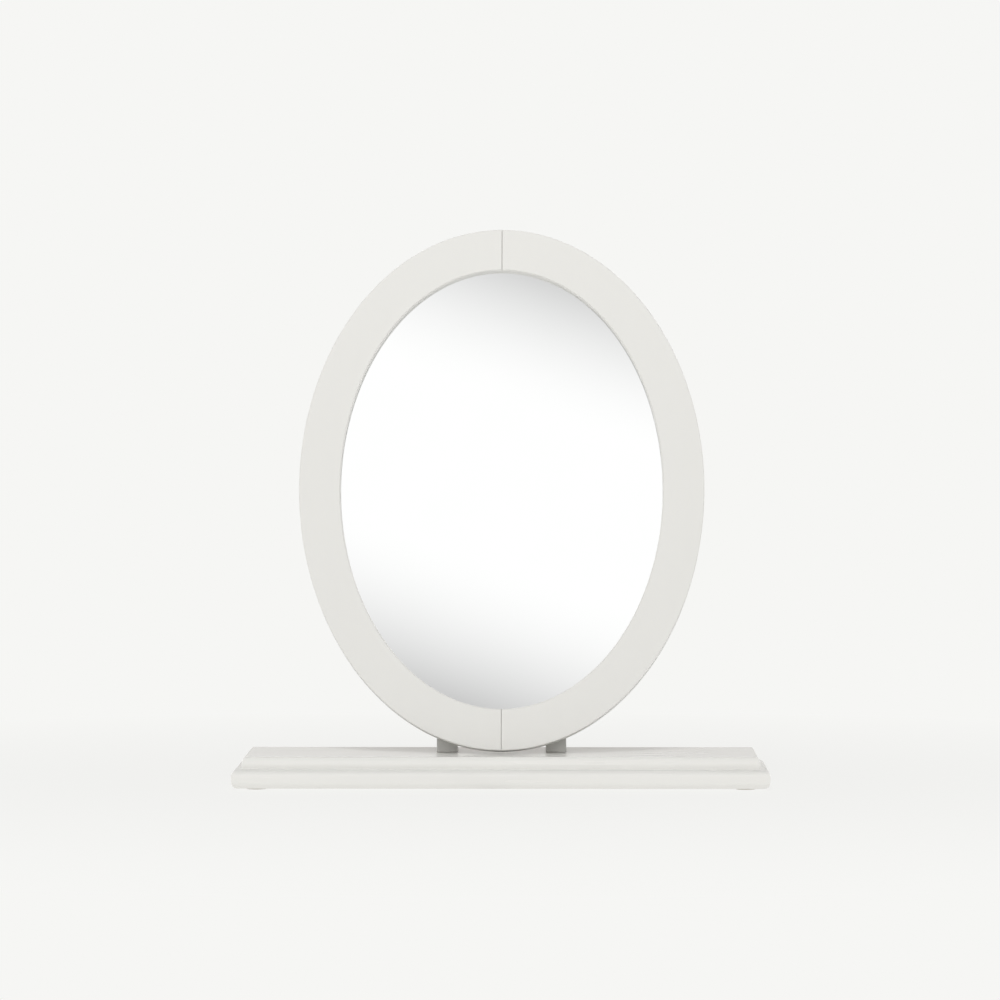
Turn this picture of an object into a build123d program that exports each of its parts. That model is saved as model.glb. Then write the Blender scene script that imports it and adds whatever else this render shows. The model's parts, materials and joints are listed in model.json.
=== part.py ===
from build123d import *
import math
import os

os.makedirs("parts", exist_ok=True)

# Vanity mirror: an oval mirror hinged on two short posts over a moulded base board
# Millimetres; X to the right, Y to the back, Z up, the table top at Z = 0

# Oval frame, made of two halves
oval_width = 406
oval_height = 526
rail_width = 41.5
frame_thickness = 18
front_edge_radius = 1.2
inner_edge_radius = 1
back_edge_radius = 1.2
seam_half_width = 0.35
seam_depth = 2.5

# Glass and its backing, from the lip to the back of the frame
glass_thickness = 4
felt_thickness = 1
panel_thickness = 4
glass_lip = 9
panel_step = 6
glass_play = 1
felt_inset = 3
panel_play = 0.5
glass_arris = 0.6
panel_arris = 0.5

# Lean of the mirror as it stands and at its steepest, and the air under it
rest_tilt = 9
least_tilt = 4
foot_gap = 1.1

# Base board and its moulded edge
base_width = 532
base_depth = 160
base_thickness = 31
edge_out = 12.7
foot_radius = 7
nose_height = 18.6
nose_radius = 9
cove_radius = 1.4
top_step_drop = 1.2
top_step_out = 0.8
thumbnail_bulge = 1.1
back_arris = 1

# Felt pads under the board
pad_radius = 10
pad_thickness = 2.5
pad_sunk = 1
pad_inset = 24

# Posts
post_width = 20.5
post_spacing = 109
post_front = 4
post_foot_depth = 52
post_top_depth = 20
post_toe_height = 13
post_above_axis = 6
post_hollow = 5
post_edge_radius = 1

# Dowels and screws that hold the posts
post_dowel_radius = 4
post_dowel_length = 24
post_dowel_set = 10
post_screw_head = 4.6
post_screw_shank = 2.25
post_screw_length = 50
post_screw_set = 23
post_screw_sunk = 2

# Dowels across the frame's seams
seam_dowel_radius = 3
seam_dowel_length = 30
seam_dowel_edge = 9
seam_dowel_pitch = 13

# Friction hinges
knuckle_radius = 4
pin_radius = 2
leaf_thickness = 2
leaf_drop = 15.5
post_knuckle_width = 11
frame_knuckle_width = 5
washer_thickness = 0.8
leaf_screw_head = 2.9
leaf_screw_shank = 1.5
leaf_screw_length = 14
leaf_screw_out = 5.6
leaf_screw_drop = 10.2
pin_head_radius = 3.6
pin_head_thickness = 2.2
pin_end = 1
disc_thickness = 0.5
disc_dish = 0.4
nut_thickness = 3.2
nut_across = 7
stop_radius = 2.2

# Screws of the back panel
panel_screw_count = 10
panel_screw_head = 2.8
panel_screw_shank = 1.5
panel_screw_length = 12

# Fits
snug = 0.05
end_room = 0.5
knuckle_room = 0.4
stop_room = 0.3
overrun = 5
screw_tip = 3
countersink_angle = 90

# Sizes that follow
half_wide = oval_width / 2
half_high = oval_height / 2
open_wide = half_wide - rail_width
open_high = half_high - rail_width
pocket_depth = glass_thickness + felt_thickness + panel_thickness
pad_stand = pad_thickness - pad_sunk
board_top = pad_stand + base_thickness
base_front = -base_depth / 2
base_back = base_depth / 2
axis_offset = knuckle_radius + knuckle_room
knuckle_gap = washer_thickness + snug + snug
frame_leaf_half = post_knuckle_width / 2 + knuckle_gap + frame_knuckle_width
post_leaf_half = post_width / 2 - post_edge_radius
notch = knuckle_radius + knuckle_room + knuckle_room
disc_stack = 2 * (disc_thickness + disc_dish)
lean = math.radians(rest_tilt)
least_lean = math.radians(least_tilt)
stop_reach = 2 * (axis_offset - leaf_thickness) + leaf_screw_drop * math.sin(least_lean)
stop_length = stop_reach - stop_room
quarter_mid_share = 1 - math.sqrt(0.5)

# The hinge axis clears the curve of the frame's outer edge behind the leaf's outer corner
leaf_corner_share = (post_spacing / 2 + frame_leaf_half) / half_wide
corner_rise = half_high * (1 - math.sqrt(1 - leaf_corner_share**2))
hinge_rise = corner_rise + back_edge_radius + leaf_drop
axis_y = post_front - axis_offset
axis_z = board_top + foot_gap + hinge_rise * math.cos(lean) - axis_offset * math.sin(lean)
post_top = axis_z + post_above_axis

# Directions of the leaning mirror, and the plane of the frame's back with the front along its normal
to_front = Vector(0, -math.cos(lean), math.sin(lean))
to_top = Vector(0, math.sin(lean), math.cos(lean))
axis_point = Vector(0, axis_y, axis_z)
oval_centre = axis_point + to_top * (half_high - hinge_rise) + to_front * axis_offset
mirror_back = Plane(origin=oval_centre, x_dir=(1, 0, 0), z_dir=to_front)
seam_plane = Plane(origin=oval_centre, x_dir=to_top, z_dir=(1, 0, 0))
sides = {"left": -1, "right": 1}


def save(part, name):
    part.label = name
    export_step(part, "parts/" + name + ".step")


def frame_oval(outset, mode=Mode.ADD):
    Ellipse(open_wide + outset, open_high + outset, mode=mode)


def screw(place, head, shank, length):
    # Countersunk wood screw, its head flush with the plane and its point down the normal
    section = Plane(origin=place.origin, x_dir=place.x_dir, z_dir=-place.y_dir)
    with BuildSketch(section) as outline:
        with BuildLine():
            Polyline(
                (0, 0),
                (head, 0),
                (shank, shank - head),
                (shank, screw_tip - length),
                (0, -length),
                close=True,
            )
        make_face()
    revolve(outline.sketch, axis=Axis(place.origin, place.z_dir))


def screw_hole(place, head, shank, depth):
    with Locations(place):
        CounterSinkHole(shank + snug, head + snug, depth, countersink_angle)


def pilot(place, radius, depth):
    with BuildSketch(place) as bore:
        Circle(radius + snug)
    extrude(bore.sketch, amount=-depth, mode=Mode.SUBTRACT)


def peg(place, radius, length):
    # Dowel along the plane's normal, centred on it
    with BuildSketch(place) as end:
        Circle(radius)
    extrude(end.sketch, amount=length / 2, both=True)


# Places that the pieces share
def post_x(side):
    return side * post_spacing / 2


def leaf_screw_places(side, up, outward):
    middle = axis_point - outward * (axis_offset - leaf_thickness) - up * leaf_screw_drop
    places = []
    for way in (-1, 1):
        at = middle + Vector(post_x(side) + way * leaf_screw_out, 0, 0)
        places.append(Plane(origin=at, x_dir=(1, 0, 0), z_dir=outward))
    return places


def post_leaf_places(side):
    return leaf_screw_places(side, Vector(0, 0, 1), Vector(0, -1, 0))


def frame_leaf_places(side):
    return leaf_screw_places(side, to_top, to_front * -1)


def post_dowel_places(side):
    ends = (post_front + post_dowel_set, post_front + post_foot_depth - post_dowel_set)
    return [Plane((post_x(side), y, board_top)) for y in ends]


def post_screw_place(side):
    at = (post_x(side), post_front + post_screw_set, pad_stand + post_screw_sunk)
    return Plane(origin=at, x_dir=(1, 0, 0), z_dir=(0, 0, -1))


def seam_dowel_places():
    high = half_high - seam_dowel_edge
    low = high - seam_dowel_pitch
    return [(way * up, frame_thickness / 2) for way in (-1, 1) for up in (high, low)]


def panel_screw_places():
    wide = open_wide + glass_lip + panel_step / 2
    high = open_high + glass_lip + panel_step / 2
    places = []
    for step in range(panel_screw_count):
        turn = 2 * math.pi * step / panel_screw_count
        at = mirror_back.from_local_coords(Vector(wide * math.cos(turn), high * math.sin(turn), 0))
        places.append(Plane(origin=at, x_dir=(1, 0, 0), z_dir=to_front * -1))
    return places


# Base board: the same moulded edge along the front and both ends meets at mitred corners
def moulded_edge(outer, inward):
    def at(inset, height):
        return (outer + inward * inset, pad_stand + height)

    foot_mid = foot_radius * quarter_mid_share
    nose_mid = nose_radius * quarter_mid_share
    cove_mid = cove_radius * quarter_mid_share
    shoulder = nose_height - nose_radius
    thumb_in = nose_radius + cove_radius
    thumb_foot = nose_height + cove_radius
    step_in = edge_out - top_step_out
    step_height = base_thickness - top_step_drop
    rise = step_height - thumb_foot
    slope = math.hypot(step_in - thumb_in, rise)
    bulge_in = (thumb_in + step_in) / 2 - thumbnail_bulge * rise / slope
    bulge_up = (thumb_foot + step_height) / 2 + thumbnail_bulge * (step_in - thumb_in) / slope
    cove = at(thumb_in - cove_mid, nose_height + cove_mid)
    ThreePointArc(at(foot_radius, 0), at(foot_mid, foot_mid), at(0, foot_radius))
    Line(at(0, foot_radius), at(0, shoulder))
    ThreePointArc(at(0, shoulder), at(nose_mid, nose_height - nose_mid), at(nose_radius, nose_height))
    ThreePointArc(at(nose_radius, nose_height), cove, at(thumb_in, thumb_foot))
    ThreePointArc(at(thumb_in, thumb_foot), at(bulge_in, bulge_up), at(step_in, step_height))
    Polyline(at(step_in, step_height), at(edge_out, step_height), at(edge_out, base_thickness))


with BuildPart() as base_board:
    with BuildSketch(Plane.YZ):
        with BuildLine():
            moulded_edge(base_front, 1)
            Polyline(
                (base_front + edge_out, board_top),
                (base_back, board_top),
                (base_back, pad_stand),
                (base_front + foot_radius, pad_stand),
            )
        make_face()
    extrude(amount=base_width / 2, both=True)
    with BuildSketch(Plane.XZ):
        with BuildLine():
            moulded_edge(-base_width / 2, 1)
            moulded_edge(base_width / 2, -1)
            Line((edge_out - base_width / 2, board_top), (base_width / 2 - edge_out, board_top))
            Line((foot_radius - base_width / 2, pad_stand), (base_width / 2 - foot_radius, pad_stand))
        make_face()
    extrude(amount=base_depth, both=True, mode=Mode.INTERSECT)
    fillet(base_board.edges().filter_by(Axis.X).group_by(Axis.Y)[-1].sort_by(Axis.Z)[-1], back_arris)
    # Pockets for the pads, bores for the dowels, holes for the post screws
    with BuildSketch(Plane.XY.offset(pad_stand)):
        with GridLocations(base_width - 2 * pad_inset, base_depth - 2 * pad_inset, 2, 2):
            Circle(pad_radius + snug)
    extrude(amount=pad_sunk, mode=Mode.SUBTRACT)
    for way in sides.values():
        for place in post_dowel_places(way):
            pilot(place, post_dowel_radius, post_dowel_length / 2 + end_room)
        hole = post_screw_place(way)
        screw_hole(hole, post_screw_head, post_screw_shank, base_thickness + overrun)
        with BuildSketch(hole):
            Circle(post_screw_head + snug)
        extrude(amount=post_screw_sunk + overrun, mode=Mode.SUBTRACT)

with BuildPart() as base_pads:
    with BuildSketch(Plane.XY):
        with GridLocations(base_width - 2 * pad_inset, base_depth - 2 * pad_inset, 2, 2):
            Circle(pad_radius)
    extrude(amount=pad_thickness)

save(base_board.part, "base_board")
save(base_pads.part, "base_pads")

# Posts: upright front, hollowed back that runs out to a low toe
for name, way in sides.items():
    with BuildPart() as post:
        with BuildSketch(Plane.YZ.offset(post_x(way) - post_width / 2)):
            with BuildLine():
                Polyline(
                    (post_front + post_foot_depth, board_top + post_toe_height),
                    (post_front + post_foot_depth, board_top),
                    (post_front, board_top),
                    (post_front, post_top),
                    (post_front + post_top_depth, post_top),
                )
                SagittaArc(
                    (post_front + post_top_depth, post_top),
                    (post_front + post_foot_depth, board_top + post_toe_height),
                    -post_hollow,
                )
            make_face()
        extrude(amount=post_width)
        fillet(post.edges().filter_by(Axis.Z), post_edge_radius)
        for place in post_dowel_places(way):
            pilot(place, post_dowel_radius, -(post_dowel_length / 2 + end_room))
        pilot(post_screw_place(way), post_screw_shank, post_screw_length + end_room)
        for place in post_leaf_places(way):
            pilot(place, leaf_screw_shank, leaf_screw_length + end_room)
    save(post.part, name + "_post")

with BuildPart() as post_dowels:
    for way in sides.values():
        for place in post_dowel_places(way):
            peg(place, post_dowel_radius, post_dowel_length)
save(post_dowels.part, "post_dowels")

with BuildPart() as post_screws:
    for way in sides.values():
        screw(post_screw_place(way), post_screw_head, post_screw_shank, post_screw_length)
save(post_screws.part, "post_screws")

# Frame halves: one flat oval ring with a stepped pocket behind, parted at the top and the bottom
for name, way in sides.items():
    with BuildPart() as frame_half:
        with BuildSketch(mirror_back):
            frame_oval(rail_width)
            frame_oval(0, Mode.SUBTRACT)
        extrude(amount=frame_thickness)
        rims = frame_half.edges().filter_by(GeomType.ELLIPSE).group_by(Axis(oval_centre, to_front))
        fillet(rims[-1].sort_by(SortBy.LENGTH)[-1], front_edge_radius)
        rims = frame_half.edges().filter_by(GeomType.ELLIPSE).group_by(Axis(oval_centre, to_front))
        fillet(rims[-1].sort_by(SortBy.LENGTH)[0], inner_edge_radius)
        rims = frame_half.edges().filter_by(GeomType.ELLIPSE).group_by(Axis(oval_centre, to_front))
        fillet(rims[0].sort_by(SortBy.LENGTH)[-1], back_edge_radius)
        with BuildSketch(mirror_back):
            frame_oval(glass_lip)
        extrude(amount=pocket_depth, mode=Mode.SUBTRACT)
        with BuildSketch(mirror_back):
            frame_oval(glass_lip + panel_step)
        extrude(amount=panel_thickness, mode=Mode.SUBTRACT)
        # Fine groove where the halves meet on the front
        groove = Plane(origin=oval_centre - to_top * half_high, x_dir=(1, 0, 0), z_dir=to_top)
        with BuildSketch(groove):
            with BuildLine():
                Polyline(
                    (-seam_half_width, -frame_thickness),
                    (seam_half_width, -frame_thickness),
                    (0, seam_depth - frame_thickness),
                    close=True,
                )
            make_face()
        extrude(amount=oval_height, mode=Mode.SUBTRACT)
        with BuildSketch(seam_plane):
            with Locations(*seam_dowel_places()):
                Circle(seam_dowel_radius + snug)
        extrude(amount=seam_dowel_length / 2 + end_room, both=True, mode=Mode.SUBTRACT)
        split(bisect_by=Plane.YZ, keep=Keep.TOP if way > 0 else Keep.BOTTOM)
        for place in panel_screw_places():
            pilot(place, panel_screw_shank, panel_screw_length + end_room)
        for place in frame_leaf_places(way):
            pilot(place, leaf_screw_shank, leaf_screw_length + end_room)
    save(frame_half.part, "frame_" + name)

with BuildPart() as seam_dowels:
    with BuildSketch(seam_plane):
        with Locations(*seam_dowel_places()):
            Circle(seam_dowel_radius)
    extrude(amount=seam_dowel_length / 2, both=True)
save(seam_dowels.part, "seam_dowels")

# Glass, felt and back panel stacked in the pocket
with BuildPart() as mirror_glass:
    with BuildSketch(mirror_back.offset(panel_thickness + felt_thickness)):
        frame_oval(glass_lip - glass_play)
    extrude(amount=glass_thickness)
    chamfer(mirror_glass.edges().filter_by(GeomType.ELLIPSE), glass_arris)
save(mirror_glass.part, "mirror_glass")

with BuildPart() as glass_felt:
    with BuildSketch(mirror_back.offset(panel_thickness)):
        frame_oval(glass_lip - felt_inset)
    extrude(amount=felt_thickness)
save(glass_felt.part, "glass_felt")

with BuildPart() as back_panel:
    with BuildSketch(mirror_back):
        frame_oval(glass_lip + panel_step - panel_play)
    extrude(amount=panel_thickness)
    chamfer(
        back_panel.edges().filter_by(GeomType.ELLIPSE).sort_by(Axis(oval_centre, to_front))[0],
        panel_arris,
    )
    for place in panel_screw_places():
        screw_hole(place, panel_screw_head, panel_screw_shank, panel_thickness + overrun)
save(back_panel.part, "back_panel")

with BuildPart() as panel_screws:
    for place in panel_screw_places():
        screw(place, panel_screw_head, panel_screw_shank, panel_screw_length)
save(panel_screws.part, "panel_screws")

# Friction hinges: a post leaf with one wide knuckle, a frame leaf with a knuckle at each side of it
for name, way in sides.items():
    middle = post_x(way)
    post_section = Plane(origin=(middle, axis_y, axis_z), x_dir=(0, 1, 0), z_dir=(1, 0, 0))
    frame_section = Plane(origin=(middle, axis_y, axis_z), x_dir=to_front * -1, z_dir=(1, 0, 0))
    plate_at = axis_offset - leaf_thickness / 2
    knuckle_at = post_knuckle_width / 2 + knuckle_gap

    with BuildPart() as post_leaf:
        with BuildSketch(post_section):
            with Locations((plate_at, -(leaf_drop + notch) / 2)):
                Rectangle(leaf_thickness, leaf_drop - notch)
        extrude(amount=post_leaf_half, both=True)
        with BuildSketch(post_section):
            with Locations((plate_at, -notch / 2)):
                Rectangle(leaf_thickness, notch)
            Circle(knuckle_radius)
            Circle(pin_radius + snug, mode=Mode.SUBTRACT)
        extrude(amount=post_knuckle_width / 2, both=True)
        for place in post_leaf_places(way):
            screw_hole(place, leaf_screw_head, leaf_screw_shank, leaf_thickness + overrun)
    save(post_leaf.part, name + "_hinge_post_leaf")

    with BuildPart() as frame_leaf:
        with BuildSketch(frame_section):
            with Locations((-plate_at, -(leaf_drop + notch) / 2)):
                Rectangle(leaf_thickness, leaf_drop - notch)
        extrude(amount=frame_leaf_half, both=True)
        for hand in (-1, 1):
            with BuildSketch(frame_section.offset(hand * knuckle_at)):
                with Locations((-plate_at, -notch / 2)):
                    Rectangle(leaf_thickness, notch)
                Circle(knuckle_radius)
                Circle(pin_radius + snug, mode=Mode.SUBTRACT)
            extrude(amount=hand * frame_knuckle_width)
        for place in frame_leaf_places(way):
            screw_hole(place, leaf_screw_head, leaf_screw_shank, leaf_thickness + overrun)
    save(frame_leaf.part, name + "_hinge_frame_leaf")

    # Pin from the inner side, with its springs and nut on the outer side
    nut_at = frame_leaf_half + disc_stack
    pin_reach = nut_at + nut_thickness + pin_end
    with BuildPart() as pin:
        with BuildSketch(frame_section.offset(-way * frame_leaf_half)):
            Circle(pin_head_radius)
        extrude(amount=-way * pin_head_thickness)
        with BuildSketch(frame_section.offset(-way * frame_leaf_half)):
            Circle(pin_radius)
        extrude(amount=way * (frame_leaf_half + pin_reach))
    save(pin.part, name + "_hinge_pin")

    with BuildPart() as washers:
        for hand in (-1, 1):
            with BuildSketch(frame_section.offset(hand * (post_knuckle_width / 2 + snug))):
                Circle(knuckle_radius)
                Circle(pin_radius + snug, mode=Mode.SUBTRACT)
            extrude(amount=hand * washer_thickness)
    save(washers.part, name + "_friction_washers")

    # Two dished discs, rim to the leaf and rim to the nut
    with BuildPart() as discs:
        spring_plane = Plane(origin=(middle, axis_y, axis_z), x_dir=to_top, z_dir=to_front)
        for base, rise in ((frame_leaf_half, 1), (nut_at, -1)):
            with BuildSketch(spring_plane):
                with BuildLine():
                    rim = -way * base
                    dish = -way * rise * disc_dish
                    thick = -way * rise * disc_thickness
                    Polyline(
                        (pin_radius + snug, rim + dish),
                        (knuckle_radius, rim),
                        (knuckle_radius, rim + thick),
                        (pin_radius + snug, rim + dish + thick),
                        close=True,
                    )
                make_face()
            revolve(axis=Axis((middle, axis_y, axis_z), (1, 0, 0)))
    save(discs.part, name + "_disc_springs")

    with BuildPart() as nut:
        with BuildSketch(frame_section.offset(way * nut_at)):
            RegularPolygon(nut_across / 2, 6, major_radius=False)
            Circle(pin_radius + snug, mode=Mode.SUBTRACT)
        extrude(amount=way * nut_thickness)
    save(nut.part, name + "_hinge_nut")

with BuildPart() as post_leaf_screws:
    for way in sides.values():
        for place in post_leaf_places(way):
            screw(place, leaf_screw_head, leaf_screw_shank, leaf_screw_length)
save(post_leaf_screws.part, "post_leaf_screws")

with BuildPart() as frame_leaf_screws:
    for way in sides.values():
        for place in frame_leaf_places(way):
            screw(place, leaf_screw_head, leaf_screw_shank, leaf_screw_length)
save(frame_leaf_screws.part, "frame_leaf_screws")

# Rubber buttons on the post leaves meet the frame leaves when the mirror stands at its steepest
with BuildPart() as stop_buttons:
    for way in sides.values():
        at = (post_x(way), axis_y + axis_offset - leaf_thickness, axis_z - leaf_screw_drop)
        with BuildSketch(Plane(origin=at, x_dir=(1, 0, 0), z_dir=(0, -1, 0))):
            Circle(stop_radius)
        extrude(amount=stop_length)
save(stop_buttons.part, "stop_buttons")
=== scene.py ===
import json
import math

import bmesh
import bpy
from mathutils import Matrix, Vector, noise


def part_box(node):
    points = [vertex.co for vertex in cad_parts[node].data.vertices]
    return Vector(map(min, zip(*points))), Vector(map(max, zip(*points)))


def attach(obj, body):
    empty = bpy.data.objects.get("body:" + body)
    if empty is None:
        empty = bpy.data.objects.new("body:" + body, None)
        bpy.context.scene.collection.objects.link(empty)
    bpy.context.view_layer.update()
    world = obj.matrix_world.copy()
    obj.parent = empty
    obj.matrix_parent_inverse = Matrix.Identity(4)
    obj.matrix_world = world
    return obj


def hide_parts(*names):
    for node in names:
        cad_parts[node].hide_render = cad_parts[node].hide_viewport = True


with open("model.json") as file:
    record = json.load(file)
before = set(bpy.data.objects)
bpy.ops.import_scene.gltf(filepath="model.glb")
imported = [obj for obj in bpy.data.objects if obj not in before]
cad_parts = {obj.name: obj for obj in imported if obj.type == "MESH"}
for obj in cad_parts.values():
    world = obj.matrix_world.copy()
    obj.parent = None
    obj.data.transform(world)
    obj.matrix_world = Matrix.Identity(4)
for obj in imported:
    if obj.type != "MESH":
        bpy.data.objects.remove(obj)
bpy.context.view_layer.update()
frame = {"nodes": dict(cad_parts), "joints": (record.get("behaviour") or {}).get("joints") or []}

# Base board
# A thick board whose front and ends are moulded with a router, a thumbnail over a cove and a rounded
# nose, mitred at the corners. It is filled, sanded and sprayed with off-white gloss lacquer.
board_low, board_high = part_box("base_board")
board_thickness = board_high.z - board_low.z
foot_radius = 0.007
nose_reach = 0.009
nose_drop = 0.0062
nose_height = 0.019
cove_radius = 0.0009
thumbnail_bulge = 0.0009
edge_out = 0.0127
top_step_out = 0.0008
top_step_drop = 0.0012
back_arris = 0.001
sanded_arris = 0.0003
quarter_bulge_share = 1 - math.sqrt(0.5)
same_point = 1e-6


def bow(start, end, bulge, steps=8):
    """Points of an arc from start to end that stands out by bulge on its left."""
    start, end = Vector(start), Vector(end)
    chord = end - start
    left = Vector((-chord.y, chord.x)).normalized()
    radius = (chord.length**2 / 4 + bulge**2) / (2 * bulge)
    centre = (start + end) / 2 + left * (bulge - radius)
    turn = -2 * math.asin(chord.length / 2 / radius)
    arm = start - centre
    return [tuple(centre + Matrix.Rotation(turn * step / steps, 2) @ arm) for step in range(steps + 1)]


def quarter(start, end, steps=8):
    """Points of a quarter round from start to end, on its left."""
    reach = (Vector(end) - Vector(start)).length * math.sqrt(0.5)
    return bow(start, end, reach * quarter_bulge_share, steps)


def moulding():
    """The moulded edge from the underside up, as (inset from the edge, height)."""
    nose_top = (nose_reach, nose_height)
    unit_round = quarter((0, 0), (1, 1), 10)
    nose = [(x * nose_reach, nose_height + (y - 1) * nose_drop) for x, y in unit_round]
    thumb_foot = (nose_reach + cove_radius, nose_height + cove_radius)
    thumb_top = (edge_out - top_step_out, board_thickness - top_step_drop)
    return [
        *quarter((foot_radius, 0), (0, foot_radius)),
        *nose,
        *bow(nose_top, thumb_foot, -cove_radius * quarter_bulge_share, 6)[1:],
        *bow(thumb_foot, thumb_top, thumbnail_bulge)[1:],
        (edge_out, thumb_top[1]),
        (edge_out, board_thickness - back_arris),
        *quarter(
            (edge_out, board_thickness - sanded_arris), (edge_out + sanded_arris, board_thickness), 4
        ),
    ]


def board_shape():
    """The moulding led round three sides, closed by the top, the underside and the back."""
    mesh = bmesh.new()
    rows = []
    for inset, height in moulding():
        above = min(max(0, height - board_thickness + back_arris), back_arris)
        back = board_high.y - back_arris + math.sqrt(back_arris**2 - above**2)
        z = board_low.z + height
        left, right, front = board_low.x + inset, board_high.x - inset, board_low.y + inset
        corners = ((left, back), (left, front), (right, front), (right, back))
        rows.append([mesh.verts.new((x, y, z)) for x, y in corners])
    for lower, upper in zip(rows, rows[1:]):
        for side in range(3):
            mesh.faces.new((lower[side], lower[side + 1], upper[side + 1], upper[side]))
    rounded = [row for row in rows if row[0].co.z > board_high.z - back_arris - same_point]
    for lower, upper in zip(rounded, rounded[1:]):
        mesh.faces.new((lower[3], lower[0], upper[0], upper[3]))
    flat = rows[: len(rows) - len(rounded) + 1]
    mesh.faces.new([row[0] for row in flat] + [row[3] for row in reversed(flat)])
    mesh.faces.new(rows[0][::-1])
    mesh.faces.new(rows[-1])
    bmesh.ops.recalc_face_normals(mesh, faces=mesh.faces)
    shape = bpy.data.meshes.new("board")
    mesh.to_mesh(shape)
    mesh.free()
    return shape


class Wire:
    """A socket of a node tree: sums on it add Math nodes, and node() adds any other node."""

    def __init__(self, tree, socket=None):
        self.tree, self.socket = tree, socket

    def feed(self, socket, value):
        if isinstance(value, Wire):
            self.tree.links.new(value.socket, socket)
        else:
            socket.default_value = value

    def node(self, kind, settings=None, sockets=None, out=0):
        made = self.tree.nodes.new(kind)
        for key, value in (settings or {}).items():
            setattr(made, key, value)

        def pick(group, key):
            if isinstance(key, int):
                return group[key]
            return next(socket for socket in group if socket.name == key and socket.enabled)

        for key, value in (sockets or {}).items():
            self.feed(pick(made.inputs, key), value)
        return Wire(self.tree, pick(made.outputs, out))

    def math(self, operation, first, second=0.0):
        return self.node("ShaderNodeMath", {"operation": operation}, {0: first, 1: second})

    def axis(self, name):
        return self.node("ShaderNodeSeparateXYZ", sockets={0: self}, out=name)

    def stretched(self, x, y, z):
        return self.node("ShaderNodeMapping", sockets={"Vector": self, "Scale": (x, y, z)})

    def noise(self, scale, detail=2.0, rough=0.5):
        return self.node(
            "ShaderNodeTexNoise",
            sockets={"Vector": self, "Scale": scale, "Detail": detail, "Roughness": rough},
            out="Fac",
        )

    def between(self, first, second):
        """The mix of two colours that this value chooses."""
        return self.node(
            "ShaderNodeMix", {"data_type": "RGBA"}, {"Factor": self, "A": first, "B": second}, "Result"
        )

    def bump(self, distance, strength=1.0):
        return self.node(
            "ShaderNodeBump", sockets={"Strength": strength, "Distance": distance, "Height": self}
        )

    def __add__(self, other):
        return self.math("ADD", self, other)

    def __sub__(self, other):
        return self.math("SUBTRACT", self, other)

    def __rsub__(self, other):
        return self.math("SUBTRACT", other, self)

    def __mul__(self, other):
        return self.math("MULTIPLY", self, other)

    def __truediv__(self, other):
        return self.math("DIVIDE", self, other)

    __radd__ = __add__


def tint(red, green, blue):
    """A colour as it is seen on screen, from 0 to 255, in the shader's linear values."""
    return (*(((c / 255 + 0.055) / 1.055) ** 2.4 for c in (red, green, blue)), 1)


def finish(name):
    """A new material, its shader and the object's own coordinates."""
    material = bpy.data.materials.new(name)
    material.use_nodes = True
    shader = material.node_tree.nodes["Principled BSDF"]
    return material, shader, Wire(material.node_tree).node("ShaderNodeTexCoord", out="Object")


def lacquer(name, grain, gloss, white, flow):
    """Sprayed off-white lacquer: orange peel over the sanded grain, and long waves where it flowed out."""
    material, shader, here = finish(name)
    peel = here.noise(scale=620)
    cloud = here.noise(scale=9, detail=3)
    lines = here.stretched(*grain).noise(scale=1, detail=4, rough=0.6)
    waves = here.stretched(4, 26, 26).noise(scale=1, detail=1)
    dark, pale = tint(white - 5, white - 6, white - 10), tint(white, white - 1, white - 5)
    here.feed(shader.inputs["Base Color"], (cloud * 0.5 + lines * 0.5).between(dark, pale))
    here.feed(shader.inputs["Roughness"], gloss + cloud * 0.06 + lines * 0.05)
    here.feed(shader.inputs["Normal"], (peel * 0.06 + lines * 0.08 + waves * flow).bump(distance=0.00015))
    shader.inputs["IOR"].default_value = 1.5
    return material


def plain(holder):
    """The evaluated shape of an object as a plain mesh; the object goes."""
    bpy.context.view_layer.update()
    shape = bpy.data.meshes.new_from_object(holder.evaluated_get(bpy.context.evaluated_depsgraph_get()))
    spent = holder.data
    bpy.data.objects.remove(holder)
    bpy.data.meshes.remove(spent)
    return shape


def placed(name, shape):
    """A new object in the scene, at the origin, with its place in its mesh."""
    made = bpy.data.objects.new(name, shape)
    bpy.context.scene.collection.objects.link(made)
    return made


def shaded(name, shape, material, crease=32):
    """A finished piece: one material, smooth but for its creases."""
    shape.materials.clear()
    shape.materials.append(material)
    shape.polygons.foreach_set("use_smooth", [True] * len(shape.polygons))
    shape.set_sharp_from_angle(angle=math.radians(crease))
    made = placed(name, shape)
    made.modifiers.new("flat_faces", "WEIGHTED_NORMAL").keep_sharp = True
    return made


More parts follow.
